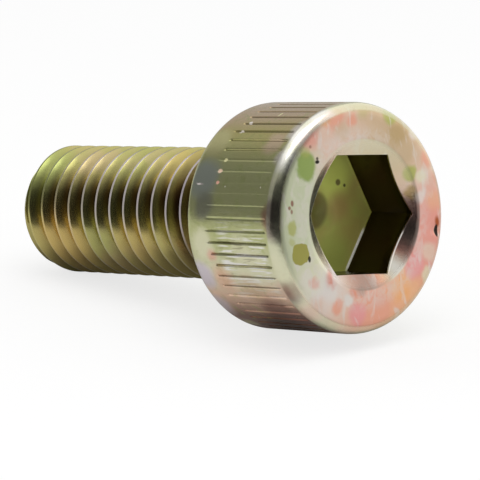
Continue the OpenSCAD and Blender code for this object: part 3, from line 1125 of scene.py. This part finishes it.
class Painter:
    """Builds the chromate's material on the laid screw's own coordinates.

    Its lengths are in millimetres and its angles in degrees. A mask is 1 on what it marks and 0
    off it. WAVE is how far the patches' edges wander, SIDE_WANDER and FACE_WANDER how far the
    borders of the side's and the face's colours do, and NEAR_AXIS the least radius to divide by.
    """

    WAVE = 0.55
    SIDE_WANDER = 14
    FACE_WANDER = 22
    NEAR_AXIS = 0.1

    def __init__(self, finish: Chromate, lie: Lie, head: HeadSizes, shank: ShankSizes) -> None:
        """Starts the material, with the places, noises and masks that its methods share.

        Args:
            finish: The finish.
            lie: Where the screw lies.
            head: Sizes of the head.
            shank: Sizes of the shank.
        """
        self.finish = finish
        self.head = head
        self.shank = shank
        self.top = head.height / MM
        self.socket_centre = tuple(part / MM for part in lie.socket_centre)
        self.material = bpy.data.materials.new("yellow_chromate")
        self.graph = Graph.start(self.material)
        self.spot = Spot.read(self.graph, lie)
        self.cloud = self.graph.noise(self.spot.point, 0.55, 3.0, 0.5)
        self.speck = self.graph.noise(self.spot.point, 2.6, 4.0, 0.8)
        self.waved = self.wave()
        self.on_head = self.spot.rise.step(-0.25, -0.1)
        self.face = self.near_face(-0.07, -0.01)
        self.socket = self.socket_mask()
        self.floor = self.floor_mask()
        self.sink = self.spot.bore.step(head.roll_radius / MM, head.roll_radius / MM - 0.1) * self.on_head
        # pearl: a painted highlight on part of the countersink, white and without metal.
        self.pearl = self.sink * (1 - self.socket) * self.spot.angle.bell(37, 17)
        # Painted highlight lines on one socket wall, white and without metal.
        self.painted_edge_highlight = self.painted_edge_highlight_mask()
        self.crest = self.crest_wear_and_highlight_mask()

    def build(self) -> bpy.types.Material:
        """Joins colour, roughness, metal and unevenness in one shader.

        Returns:
            The material.
        """
        polish, matt = self.finish.polish, self.finish.matt
        rough = polish + 0.16 * (self.speck - 0.4).most(0.0) * self.on_head + 0.1 * self.face
        rough = rough + (matt - polish) * (self.crest * 0.6).most(self.floor)
        metal = 1 - 0.5 * self.crest - 0.75 * self.floor - 0.9 * self.glint_mask() - 0.5 * self.pearl - self.painted_edge_highlight
        values = {
            "Base Color": self.colour(),
            "Metallic": metal.most(0.0),
            "Roughness": rough,
            "Normal": self.normal(),
        }
        surface = self.graph.wire("ShaderNodeBsdfPrincipled", values=values)
        self.graph.node("ShaderNodeOutputMaterial", values={"Surface": surface})
        return self.material

    def colour(self) -> Wire:
        """Lays the head's and the socket's colours over the thread's, and on top painted highlights, darker groove
        bottoms, worn crests, painted shade in the roots, marks and painted glints.

        Returns:
            The base colour.
        """
        mix = self.graph.mix
        rolled = self.near_face(-0.6, -0.45) * (1 - self.face)
        colour = mix(self.on_head, self.thread_colour(), self.side_colour())
        colour = mix(rolled, colour, self.rolled_colour())
        colour = mix(self.face.most(self.sink).most(self.rim_mask()), colour, self.front_colour())
        # The socket's walls get a painted shade.
        colour = self.over(colour, (self.socket, Hue.SOCKET_WALL_SHADE))
        colour = mix(self.floor, colour, self.floor_colour())
        colour = self.over(
            colour,
            # White: painted highlight lines in the socket and a painted highlight on the countersink.
            (self.painted_edge_highlight.most(self.pearl * 0.8), Hue.WHITE),
            (self.groove_mask() * 0.3, Hue.UMBER),
            (self.crest * 0.9, Hue.LILAC),
            (self.root_shade_mask(), Hue.UMBER),
        )
        return self.lay(self.finish.MARKS + self.finish.GLINTS, self.spot.point, colour)

    def near_face(self, low: float, high: float) -> Wire:
        """Rises from 0 to 1 between two heights that are counted from the face."""
        return self.spot.rise.step(self.top + low, self.top + high)

    def over(self, colour: Wire | tuple, *coats: tuple[Wire, Hue]) -> Wire:
        """Lays hues over a colour, each where its own mask is, the last on top."""
        for mask, hue in coats:
            colour = self.graph.mix(mask, colour, hue.colour)
        return colour

    def lay(self, row: Sequence[Stain], point: Wire, colour: Wire) -> Wire:
        """Lays a row of patches over a colour, the last on top."""
        return self.over(colour, *((stain.mask(self.graph, point), stain.hue) for stain in row))

    def turning(self, stops: Sequence[tuple[float, Hue]], wander: float) -> Wire:
        """Returns a colour that changes round the screw, with borders that wander so many degrees."""
        turn = (self.spot.angle + wander * (self.cloud - 0.5)) * (1 / 360)
        colours = [(place, hue.colour) for place, hue in stops]
        return self.graph.wire("ShaderNodeValToRGB", {"stops": colours}, {0: turn})

    def wave(self) -> Wire:
        """Returns the place on the screw moved about a little, which gives patches uneven edges."""
        values = {"Vector": self.spot.point, "Scale": 1.3, "Detail": 3.0}
        shift = self.graph.wire("ShaderNodeTexNoise", values=values, output="Color")
        shift = self.graph.vector("SUBTRACT", shift, (0.5,) * 3)
        return self.graph.vector("ADD", self.spot.point, self.graph.vector("MULTIPLY", shift, (self.WAVE,) * 3))

    def normal(self) -> Wire:
        """Returns the surface's normal with a fine grain over a broad swell."""
        fine = self.graph.noise(self.spot.point, 7.0, 4.0) * (0.15 + 0.85 * self.spot.rise.step(-0.3, -0.1))
        swell = {"Strength": 1.0, "Distance": self.finish.swell, "Height": self.graph.noise(self.spot.point, 0.9, 2.0)}
        broad = self.graph.wire("ShaderNodeBump", values=swell)
        grain = {"Strength": 1.0, "Distance": self.finish.grain, "Height": fine, "Normal": broad}
        return self.graph.wire("ShaderNodeBump", values=grain)

    def thread_colour(self) -> Wire:
        """Returns the shank's colour: olive, with green, tan and gold patches, and painted shade below and near the
        head.
        """
        wide = self.graph.noise(self.spot.point, 0.22, 1.0)
        colour = self.over(
            Hue.OLIVE.colour,
            (wide.step(0.42, 0.62) * 0.45, Hue.GREEN),
            (self.cloud.step(0.5, 0.7) * 0.35, Hue.TAN),
        )
        colour = self.lay(self.finish.THREAD_STAINS, self.waved, colour)
        # Painted shade on the thread's underside towards the floor, and on the last turns by the head.
        down = self.graph.split(self.spot.point)[0] / self.spot.radius.most(self.NEAR_AXIS)
        under = down.step(0.41, 0.79) * self.spot.radius.step(1.9, 2.2) * 0.5
        return self.over(colour, (under.most(self.spot.rise.step(-4.1, -2.9) * 0.75), Hue.UMBER))

    def side_colour(self) -> Wire:
        """Returns the colour of the head's side, with white streaks of painted highlight and thin darker streaks
        between the near grooves.
        """
        rise, angle = self.spot.rise, self.spot.angle
        colour = self.turning(self.finish.SIDE_ROUND_AND_PAINTED_LIGHT, self.SIDE_WANDER)
        colour = self.over(colour, (self.speck.step(0.5, 0.75) * 0.5, Hue.GREEN))
        colour = self.lay(self.finish.SIDE_STAINS_AND_PAINTED_LIGHT, self.waved, colour)
        streak = self.graph.noise(self.graph.vector("MULTIPLY", self.spot.point, (2.4, 2.4, 0.2)), 3.2, 3.0)
        knurled = rise.step(2.0, 2.5) * rise.step(5.4, 5.0)
        # The white streaks are painted highlights between the near grooves.
        return self.over(
            colour,
            (streak.step(0.52, 0.6) * knurled * angle.bell(284, 30), Hue.WHITE),
            (streak.step(0.42, 0.37) * knurled * angle.bell(278, 24) * 0.4, Hue.UMBER),
        )

    def rolled_colour(self) -> Wire:
        """Returns the colour of the rolled edge: pale and clean, with some moss, and with a painted highlight and a
        painted dark reflection on the side near the camera.
        """
        colour = self.over(
            Hue.CREAM.colour,
            (self.cloud.step(0.4, 0.65) * 0.6, Hue.MIST),
            (self.speck.step(0.55, 0.8) * 0.4, Hue.TAN),
        )
        return self.lay(self.finish.ROLL_STAINS_AND_PAINTED_LIGHT, self.waved, colour)

    def face_colour(self) -> Wire:
        """Returns the face's rose, peach and pearl, which run down the countersink and over the rolled edge."""
        x, y, _ = self.graph.split(self.waved)
        flat = self.graph.join(x, y, self.top)
        colour = self.turning(self.finish.FACE_ROUND, self.FACE_WANDER)
        colour = self.lay(self.finish.FACE_STAINS, flat, colour)
        drawn = self.graph.vector("MULTIPLY", self.spot.point, (0.55, 1.5, 1.0))
        streak = self.graph.noise(drawn, 1.5, 4.0, 0.6).step(0.54, 0.7)
        inner = self.spot.radius.bell(3.45, 0.75) * (1 - self.spot.angle.bell(120, 55)) * 0.45
        veil = (streak * 0.55).most(inner * self.speck.step(0.3, 0.6))
        return self.lay(self.finish.FACE_SPOTS, flat, self.over(colour, (veil, Hue.CHALK)))

    def front_colour(self) -> Wire:
        """Returns the face's colour with painted light and painted shade on the countersink."""
        angle = self.spot.angle
        # The CREAM coats paint light and the ASH coat paints shade on the countersink.
        dark = angle.bell(72, 32).most(angle.bell(360, 45) * 0.85).most(angle.bell(0, 25) * 0.85)
        return self.over(
            self.face_colour(),
            (self.sink * angle.bell(165, 75) * 0.6, Hue.CREAM),
            (self.sink * angle.bell(34, 20) * 0.8, Hue.CREAM),
            (self.sink * dark * 0.9, Hue.ASH),
        )

    def floor_colour(self) -> Wire:
        """Returns the colour of the socket's floor, with its pits."""
        colour = self.over(Hue.FERN.colour, (self.cloud.step(0.3, 0.7) * 0.6, Hue.BRONZE))
        return self.lay(self.finish.PITS, self.spot.point, colour)

    def rim_mask(self) -> Wire:
        """Marks how far the face's colour runs over the rolled edge, most on the side away from the camera."""
        low, away, _ = self.graph.split(self.spot.point)
        lean = (0.34 * low + 0.94 * away) / self.spot.radius.most(self.NEAR_AXIS)
        return self.near_face(-0.35, -0.12) * (0.25 + 0.55 * lean.step(-0.4, 1.0))

    def floor_mask(self) -> Wire:
        """Marks the socket's floor and its punch mark."""
        floor = -self.head.socket_depth / MM
        return self.near_face(floor + 0.08, floor + 0.02) * self.spot.bore.step(3.2, 3.0) * self.on_head

    def socket_mask(self) -> Wire:
        """Marks the hexagon's walls: below the countersink's edge, which climbs at the corners."""
        flat = self.head.socket_af / 2
        corner = flat / math.cos(TURN / 12)
        low, high = self.head.countersink(flat) / MM, self.head.countersink(corner) / MM
        slope = (high - low) / ((corner - flat) / MM)
        edge = (self.spot.bore - flat / MM) * slope + (low - 0.04)
        inside = self.spot.bore.step(corner / MM + 0.12, corner / MM + 0.02)
        return (edge - self.spot.rise).step(0.0, 0.03) * inside * self.spot.rise.step(0.5, 1.0)

    def painted_edge_highlight_mask(self) -> Wire:
        """Marks painted highlight lines at the foot and at the mouth of one of the socket's walls."""
        rise, bore = self.spot.rise, self.spot.bore
        flat = self.head.socket_af / 2 / MM
        wall = self.head.first_corner + TURN / 12
        floor = self.top - self.head.socket_depth / MM
        x, y, _ = self.graph.split(self.spot.point)
        x0, y0 = self.socket_centre
        out = (x - x0) * math.cos(wall) + (y - y0) * math.sin(wall)
        foot = out.step(flat - 0.1, flat - 0.05) * rise.step(floor + 0.1, floor + 0.05) * rise.step(1.0, 2.0)
        mouth = out.step(flat + 0.004, flat + 0.015) * out.step(flat + 0.08, flat + 0.05) * rise.step(4.6, 4.8)
        sides = self.spot.angle.bell(math.degrees(wall) - 4, 27).step(0.0, 0.25)
        return (foot * 0.9).most(mouth * 0.8) * sides * bore.step(3.12, 3.0)

    def groove_mask(self) -> Wire:
        """Marks the bottoms of the knurl's grooves."""
        side = self.head.radius / MM
        depth = self.head.groove_depth / MM
        middle = (self.head.knurl_low + self.head.knurl_high) / 2 / MM
        deep = self.spot.radius.step(side - 0.25 * depth, side - 0.8 * depth)
        deep = deep * self.spot.radius.step(side - 0.4, side - 0.3)
        return deep * self.spot.rise.bell(middle, 2.2).step(0.0, 0.15)

    def crest_wear_and_highlight_mask(self) -> Wire:
        """Marks the thread's worn crests, whose pale colour is also a painted highlight: most on the near side and less
        towards the tip.
        """
        rise, angle = self.spot.rise, self.spot.angle
        crest = self.shank.thread_radius / MM
        worn = self.spot.radius.step(crest - 0.02, crest - 0.004) * rise.step(-1.2, -1.8)
        # Paler crests on the near side: partly wear, partly a painted highlight.
        rubbed_and_lit = angle.step(190, 208) * angle.step(300, 250) * 0.85 + 0.08
        return worn * rubbed_and_lit * rise.step(-14.0, -7.5) * (0.5 + 1.0 * self.speck).least(1.0)

    def root_shade_mask(self) -> Wire:
        """Marks the thread's darker roots, with painted shade that is darkest on the near side."""
        crest = self.shank.thread_radius / MM
        root = (1 - self.on_head) * self.spot.radius.step(crest - 0.05, crest - 0.35)
        # The near side's darker roots are painted shade.
        return root * (0.2 + 0.7 * self.spot.angle.bell(246, 34) * self.spot.rise.step(-14.5, -12.0))

    def glint_mask(self) -> Wire:
        """Marks the glints, where no metal shows."""
        first, *others = (stain.mask(self.graph, self.spot.point) for stain in self.finish.GLINTS)
        for other in others:
            first = first.most(other)
        return first


class Screw:
    """The whole screw, one closed mesh."""

    NICKS = (
        Nick(angle=280.0, rise=-3.92 * MM, radius=2.95 * MM, reach=0.32 * MM, depth=0.12 * MM),
        Nick(angle=75.0, rise=6.0 * MM, radius=4.45 * MM, reach=0.3 * MM, depth=0.05 * MM, sink=0.1 * MM),
    )
    SHARP = math.radians(34)
    WELD = 2e-4 * MM

    def __init__(self, lie: Lie) -> None:
        """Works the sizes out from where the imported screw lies."""
        self.lie = lie
        self.head = Head(HeadSizes(height=lie.head_height, socket_centre=lie.socket_centre))
        self.shank = Shank(ShankSizes(length=lie.length))

    def build(self, material: bpy.types.Material) -> bpy.types.Object:
        """Builds the screw and lays it down.

        Args:
            material: Its finish.

        Returns:
            The screw's object, at the origin, with its place in its mesh.
        """
        blank = bmesh.new()
        seat = self.shank.neck(blank)
        self.head.build(blank, seat)
        turned = bpy.data.meshes.new("turned_head")
        blank.to_mesh(turned)
        blank.free()
        knurled = self.head.knurl_tree().run(turned, material)
        wound = self.shank.thread_tree().run(self.shank.strip(), material)
        whole = bmesh.new()
        whole.from_mesh(knurled)
        whole.from_mesh(wound)
        self.shank.tip(whole)
        bmesh.ops.remove_doubles(whole, verts=whole.verts, dist=self.WELD)
        for nick in self.NICKS:
            LOG.info("nick at %.0f degrees moved %d points", nick.angle, nick.press(whole))
        whole.transform(self.lie.matrix)
        mesh = bpy.data.meshes.new("cap_screw_body")
        whole.to_mesh(mesh)
        open_edges = sum(1 for edge in whole.edges if not edge.is_manifold)
        LOG.info("screw: %d points, %d faces, %d open edges", len(whole.verts), len(whole.faces), open_edges)
        whole.free()
        mesh.polygons.foreach_set("use_smooth", [True] * len(mesh.polygons))
        mesh.set_sharp_from_angle(angle=self.SHARP)
        mesh.materials.clear()
        mesh.materials.append(material)
        return add_object("cap_screw_body", mesh)


@dataclass(frozen=True)
class View:
    """The photograph's camera.

    Attributes:
        azimuth: Which way it looks, in degrees. At 0 it looks along +Y.
        elevation: How far it stands above the horizon, in degrees.
        distance: Depth of the middle of the screw's face.
        right: How far that point lies right of the picture's middle.
        above: How far that point lies above it.
        focal: Focal length, in millimetres.
        film: Width of the film, in millimetres.
    """

    azimuth: float = 49.08
    elevation: float = 12.89
    distance: float = 147.33 * MM
    right: float = 5.192 * MM
    above: float = 0.919 * MM
    focal: float = 260.06
    film: float = 36.0

    def axes(self) -> tuple[Vector, Vector, Vector]:
        """Returns the camera's right, up and forward directions."""
        right = direction(self.azimuth + 90)
        forward = -direction(self.azimuth, self.elevation)
        return right, right.cross(forward), forward

    def place(self, face: Vector) -> bpy.types.Object:
        """Adds the camera.

        Args:
            face: The middle of the screw's face.

        Returns:
            The camera.
        """
        right, up, forward = self.axes()
        spot = face - right * self.right - up * self.above - forward * self.distance
        data = bpy.data.cameras.new("photo_camera")
        data.lens = self.focal
        data.sensor_width = self.film
        data.clip_start = MM
        turn = Matrix((right, up, -forward)).transposed().to_4x4()
        camera = add_object("photo_camera", data, Matrix.Translation(spot) @ turn)
        bpy.context.scene.camera = camera
        return camera


@dataclass(frozen=True)
class Softbox:
    """A soft lamp.

    Attributes:
        turn: Direction from the screw, in degrees to the right of the camera.
        elevation: Height above the horizon, in degrees.
        distance: Distance from the screw.
        width: Width of the lamp.
        height: Height of the lamp.
        level: Brightness of its face, where 1 is white.
    """

    turn: float
    elevation: float
    distance: float
    width: float
    height: float
    level: float

    def place(self, name: str, target: Vector, view: View) -> bpy.types.Object:
        """Adds the lamp, turned to the screw.

        Args:
            name: The lamp's name.
            target: The point that it faces.
            view: The camera, from which its direction is counted.

        Returns:
            The lamp.
        """
        towards = direction(view.azimuth + self.turn, self.elevation)
        data = bpy.data.lights.new(name, "AREA")
        data.shape = "RECTANGLE"
        data.size = self.width
        data.size_y = self.height
        data.energy = self.level * math.pi * self.width * self.height
        turn = towards.to_track_quat("Z", "Y").to_matrix().to_4x4()
        return add_object(name, data, Matrix.Translation(target + towards * self.distance) @ turn)


@dataclass(frozen=True)
class Curtain:
    """A curtain that stands round the screw and that only reflections show.

    Attributes:
        start: Where it starts, in degrees to the right of the camera.
        end: Where it ends.
        radius: Distance from the screw.
        high: Height of its upper edge above the floor.
        shade: How light it is near the floor, from 0 to 1.
        fade: Height from which it grows lighter.
        top_shade: How light it is at its upper edge.
    """

    start: float
    end: float
    radius: float
    high: float
    shade: float
    fade: float
    top_shade: float

    STEP = 6

    def hang(self, name: str, centre: Vector, view: View) -> bpy.types.Object:
        """Adds the curtain.

        Args:
            name: The curtain's name.
            centre: The point on the floor that it stands round.
            view: The camera, from which its ends are counted.

        Returns:
            The curtain.
        """
        count = max(2, round(abs(self.end - self.start) / self.STEP))
        turns = arc(view.azimuth + self.start, view.azimuth + self.end, count)
        feet = [centre + direction(turn) * self.radius for turn in turns]
        points = [foot + Vector((0, 0, level)) for foot in feet for level in (0.0, self.high)]
        faces = [(2 * i, 2 * i + 2, 2 * i + 3, 2 * i + 1) for i in range(count)]
        mesh = bpy.data.meshes.new(name)
        mesh.from_pydata([tuple(point) for point in points], [], faces)
        curtain = add_object(name, mesh)
        curtain.visible_camera = False
        curtain.visible_diffuse = False
        curtain.visible_shadow = False
        material = bpy.data.materials.new(name)
        graph = Graph.start(material)
        height = graph.split(graph.wire("ShaderNodeTexCoord", output="Object"))[2]
        dark = graph.wire("ShaderNodeEmission", values={"Strength": self.shade})
        light = graph.wire("ShaderNodeEmission", values={"Strength": self.top_shade})
        both = graph.wire("ShaderNodeMixShader", values={0: height.step(self.fade, self.high), 1: dark, 2: light})
        graph.node("ShaderNodeOutputMaterial", values={"Surface": both})
        mesh.materials.append(material)
        return curtain


class Studio:
    """A pale floor, a white surround, a soft lamp overhead and curtains for the metal to reflect.

    FLOOR is the floor's width. Its shade is FLOOR_SHADE to the light and to reflections, and the
    camera sees it as FLOOR_SEEN with FLOOR_GLOW added. SKY is the strength of the surround's light.
    """

    FLOOR = 0.6
    FLOOR_SHADE = 0.82
    FLOOR_SEEN = 0.28
    FLOOR_GLOW = 0.745
    SKY = 0.72
    LAMPS = {
        "overhead": Softbox(turn=20, elevation=72, distance=0.16, width=0.12, height=0.12, level=1.5),
    }
    CURTAINS = {
        "front_curtain": Curtain(start=-42, end=40, radius=0.06, high=0.1, shade=0.025, fade=0.04, top_shade=0.75),
        "right_curtain": Curtain(start=40, end=68, radius=0.06, high=0.1, shade=0.3, fade=0.04, top_shade=0.7),
        "left_curtain": Curtain(start=-130, end=-42, radius=0.06, high=0.085, shade=0.25, fade=0.03, top_shade=0.5),
        "back_curtain": Curtain(start=-200, end=-130, radius=0.06, high=0.07, shade=0.52, fade=0.02, top_shade=0.5),
    }

    def __init__(self, centre: Vector, view: View) -> None:
        """Keeps the middle of the screw and the camera."""
        self.centre = centre
        self.view = view

    def build(self) -> None:
        """Adds everything."""
        self.world()
        self.floor()
        for name, lamp in self.LAMPS.items():
            lamp.place(name, self.centre, self.view)
        for name, curtain in self.CURTAINS.items():
            curtain.hang(name, Vector((self.centre.x, self.centre.y, 0)), self.view)
        bpy.context.scene.view_settings.view_transform = "Standard"

    def world(self) -> None:
        """Lights the scene evenly, and shows white to the camera and to reflections."""
        world = bpy.data.worlds.new("studio")
        bpy.context.scene.world = world
        graph = Graph.start(world)
        rays = graph.node("ShaderNodeLightPath").outputs
        camera, glossy, through = (Wire(graph, rays[f"Is {kind} Ray"]) for kind in ("Camera", "Glossy", "Transmission"))
        strength = camera.most(glossy).most(through) * (1 - self.SKY) + self.SKY
        sky = graph.wire("ShaderNodeBackground", values={"Color": (1, 1, 1, 1), "Strength": strength})
        graph.node("ShaderNodeOutputWorld", values={"Surface": sky})

    def floor(self) -> None:
        """Adds the floor, which keeps the screw's shadow and is white where nothing shades it."""
        half = self.FLOOR / 2
        mesh = bpy.data.meshes.new("floor")
        mesh.from_pydata([(-half, -half, 0), (half, -half, 0), (half, half, 0), (-half, half, 0)], [], [(0, 1, 2, 3)])
        material = bpy.data.materials.new("white_floor")
        graph = Graph.start(material)
        seen = graph.wire("ShaderNodeLightPath", output="Is Camera Ray")
        paint, shown = (
            graph.wire("ShaderNodeBsdfDiffuse", values={"Color": (shade, shade, shade, 1)})
            for shade in (self.FLOOR_SHADE, self.FLOOR_SEEN)
        )
        glow = graph.wire("ShaderNodeEmission", values={"Strength": self.FLOOR_GLOW})
        white = graph.wire("ShaderNodeAddShader", values={0: shown, 1: glow})
        both = graph.wire("ShaderNodeMixShader", values={0: seen, 1: paint, 2: white})
        graph.node("ShaderNodeOutputMaterial", values={"Surface": both})
        mesh.materials.append(material)
        floor = add_object("floor", mesh)


def main() -> None:
    """Builds the camera, the screw and the studio."""
    logging.basicConfig(level=logging.INFO, format="%(message)s")
    lie = Lie.from_record(frame["record"])
    view = View()
    view.place(lie.seat + lie.axis * lie.head_height)
    screw = Screw(lie)
    piece = screw.build(Painter(Chromate(), lie, screw.head.sizes, screw.shank.sizes).build())
    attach(piece, "root")
    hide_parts("cap_screw")
    low, high = CAD_BOX
    Studio((low + high) / 2, view).build()


if __name__ == "__main__":
    main()
